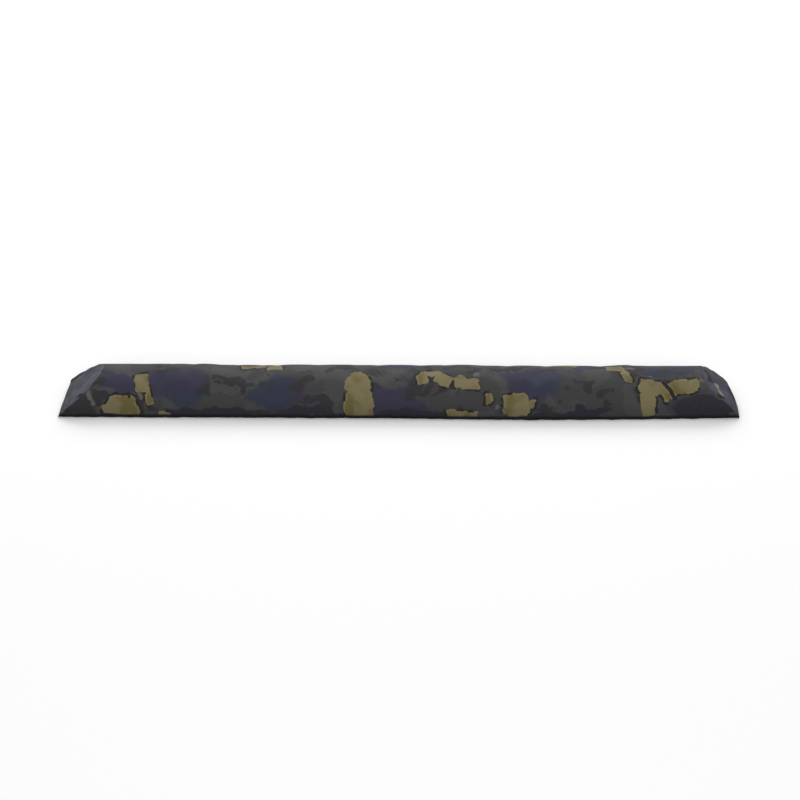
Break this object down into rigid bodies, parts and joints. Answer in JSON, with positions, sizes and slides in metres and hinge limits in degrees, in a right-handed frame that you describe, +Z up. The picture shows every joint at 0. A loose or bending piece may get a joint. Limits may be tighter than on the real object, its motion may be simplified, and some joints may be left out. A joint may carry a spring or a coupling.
{
  "type": "roof rack pad",
  "caption": "Long padded crossbar cover with a rounded foam crown, slanted ends, camouflage cloth and hook-and-loop flaps folded flat under its base.",
  "frame": {"origin": "on the ground, below the middle of the pad's bounding box", "axes": "+X along the pad to its right-hand end, -Y towards the leading side that the camera faces, +Z up through the ridge"},
  "size_m": [0.864, 0.092, 0.045],
  "materials": {
    "printed_cloth": "plain-woven polyester with a camouflage print in charcoal, black, navy and khaki",
    "base_cloth": "plain-woven black polyester",
    "flap_cloth": "plain-woven black polyester with stitched hems",
    "hook_tape": "stiff nylon hooks in rows",
    "loop_tape": "brushed nylon loop pile",
    "foam": "closed-cell foam"
  },
  "bodies": {
    "root": {"foam_core": "foam", "top_cover": "printed_cloth", "end_panel_left": "printed_cloth", "end_panel_right": "printed_cloth", "base_panel": "base_cloth", "front_flap": "flap_cloth", "rear_flap": "flap_cloth", "hook_tape": "hook_tape", "loop_tape": "loop_tape"}
  },
  "joints": []
}
